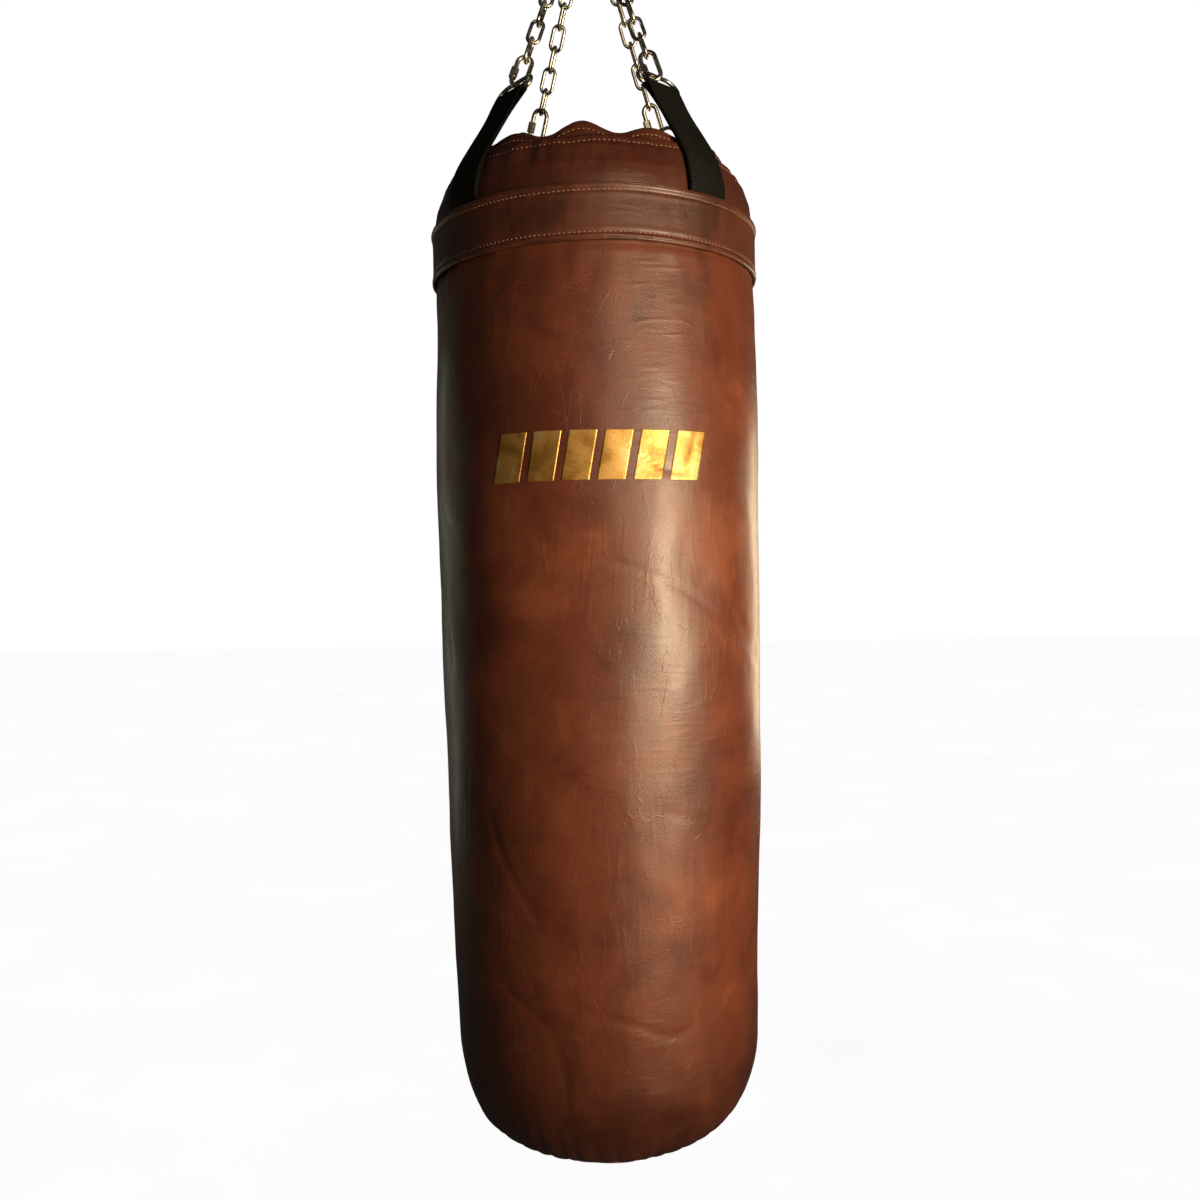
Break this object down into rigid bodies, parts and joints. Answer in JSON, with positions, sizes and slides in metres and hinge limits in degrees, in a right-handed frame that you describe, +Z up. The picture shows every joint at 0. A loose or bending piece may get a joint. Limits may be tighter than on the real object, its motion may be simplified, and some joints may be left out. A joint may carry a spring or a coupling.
{
  "type": "hanging punching bag",
  "caption": "Stuffed leather heavy bag with a stitched band and gathered collar, hung by webbing straps, D-rings and chains from a ring and swivel; no stand.",
  "frame": {"origin": "centre of the hanging eye's bore, on top of the swivel", "axes": "+Z up, -Y the bag's front with the emblem, +X to the right as seen from the front; the eye's bore runs along Y"},
  "size_m": [0.3639, 0.3638, 1.5181],
  "materials": {
    "hide": "satin",
    "hide_trim": "satin",
    "hide_piping": "satin",
    "hide_inner": "satin",
    "webbing": "matte",
    "thread": "matte",
    "foil": "satin",
    "foam": "matte",
    "filling": "matte",
    "zip_cloth": "matte",
    "zip_metal": "satin",
    "chain_steel": "satin",
    "nut_steel": "satin",
    "ring_steel": "satin",
    "swivel_steel": "satin"
  },
  "bodies": {
    "hanger": {"swivel_body": "swivel_steel"},
    "swivel": {"swivel_shank": "ring_steel", "swivel_nut": "ring_steel", "thrust_washer": "ring_steel"},
    "ring": {"master_ring": "ring_steel"},
    "bag": {"chain_front_left": "chain_steel", "chain_front_right": "chain_steel", "chain_rear_left": "chain_steel", "chain_rear_right": "chain_steel", "quick_link_front_left": "chain_steel", "quick_link_front_right": "chain_steel", "quick_link_rear_left": "chain_steel", "quick_link_rear_right": "chain_steel", "d_ring_front_left": "ring_steel", "d_ring_front_right": "ring_steel", "d_ring_rear_left": "ring_steel", "d_ring_rear_right": "ring_steel", "strap_front_left": "webbing", "strap_front_right": "webbing", "strap_rear_left": "webbing", "strap_rear_right": "webbing", "leather_shell": "hide", "base_disc": "hide_inner", "base_welt": "hide_piping", "foam_layer": "foam", "filling_core": "filling", "top_band": "hide_trim", "band_piping_upper": "hide_piping", "band_piping_lower": "hide_piping", "collar": "hide_trim", "closing_sleeve": "hide_inner", "band_thread_upper": "thread", "band_thread_lower": "thread", "collar_thread": "thread", "sleeve_thread": "thread", "top_lid": "hide_inner", "zip_tape": "zip_cloth", "zip_teeth": "zip_metal", "emblem_foil": "foil"},
    "nut_front_left": {"quick_nut_front_left": "nut_steel"},
    "nut_front_right": {"quick_nut_front_right": "nut_steel"},
    "nut_rear_left": {"quick_nut_rear_left": "nut_steel"},
    "nut_rear_right": {"quick_nut_rear_right": "nut_steel"},
    "slider": {"zip_slider": "zip_metal"},
    "pull": {"zip_pull": "zip_metal"}
  },
  "joints": [
    {"name": "swivel_spin", "type": "hinge", "parent": "hanger", "child": "swivel", "pos_m": [0, 0, -0.04], "axis": [0, 0, 1], "continuous": true},
    {"name": "ring_swing", "type": "hinge", "parent": "swivel", "child": "ring", "pos_m": [0, 0, -0.064], "axis": [0, 1, 0], "range_deg": [-45, 45]},
    {"name": "bag_swing", "type": "hinge", "parent": "ring", "child": "bag", "pos_m": [0, 0, -0.087], "axis": [1, 0, 0], "range_deg": [-45, 45]},
    {"name": "zip_slide", "type": "slide", "parent": "bag", "child": "slider", "axis": [1, 0, 0], "range_m": [-0.18, 0]},
    {"name": "pull_flip", "type": "hinge", "parent": "slider", "child": "pull", "pos_m": [0.0872, 0, -0.45501], "axis": [0, 1, 0], "range_deg": [0, 150]},
    {"name": "nut_travel_front_left", "type": "slide", "parent": "bag", "child": "nut_front_left", "axis": [0.2755, 0.2318, 0.9329], "range_m": [0, 0.0055]},
    {"name": "nut_travel_front_right", "type": "slide", "parent": "bag", "child": "nut_front_right", "axis": [-0.2755, 0.2603, 0.9254], "range_m": [0, 0.0055]},
    {"name": "nut_travel_rear_left", "type": "slide", "parent": "bag", "child": "nut_rear_left", "axis": [0.2755, -0.2318, 0.9329], "range_m": [0, 0.0055]},
    {"name": "nut_travel_rear_right", "type": "slide", "parent": "bag", "child": "nut_rear_right", "axis": [-0.2755, -0.2603, 0.9254], "range_m": [0, 0.0055]}
  ]
}
